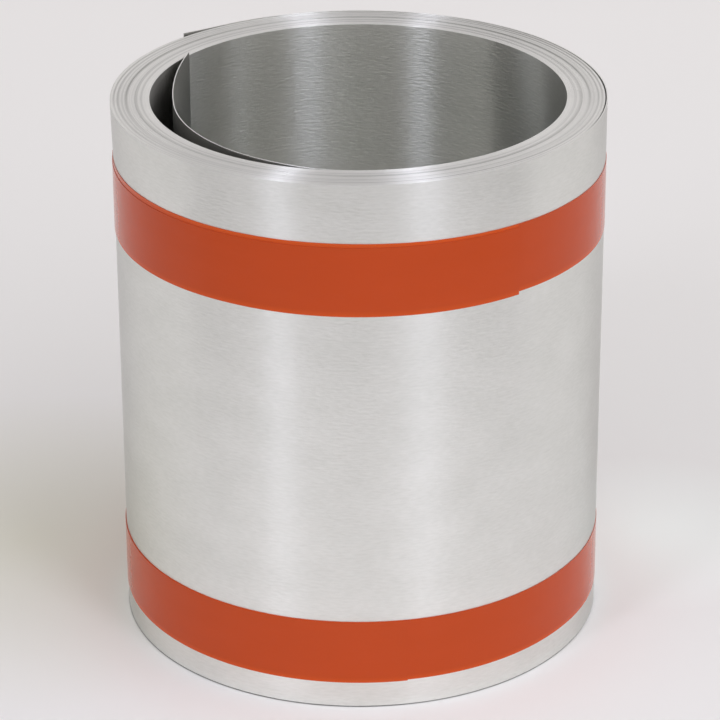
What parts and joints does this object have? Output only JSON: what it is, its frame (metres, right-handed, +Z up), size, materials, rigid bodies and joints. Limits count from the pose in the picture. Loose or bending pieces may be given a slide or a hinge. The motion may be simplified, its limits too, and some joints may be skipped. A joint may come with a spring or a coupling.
{
  "type": "roll of aluminum flashing",
  "caption": "Roll of thin aluminum flashing strip standing on its end, with an open bore, a free inner end and two bands of tape round it.",
  "frame": {"origin": "on the roll's axis, on the plane that the roll stands on", "axes": "+Z up along the roll's axis; -Y towards the viewer, with the free inner end inside the bore at -X"},
  "size_m": [0.1346, 0.1346, 0.1536],
  "materials": {
    "aluminum_strip": "mill finish sheet, fine rolled grain running along the strip",
    "orange_tape": "thin orange plastic tape, soft gloss"
  },
  "bodies": {
    "root": {"flashing_coil": "aluminum_strip", "upper_tape": "orange_tape", "lower_tape": "orange_tape"}
  },
  "joints": []
}
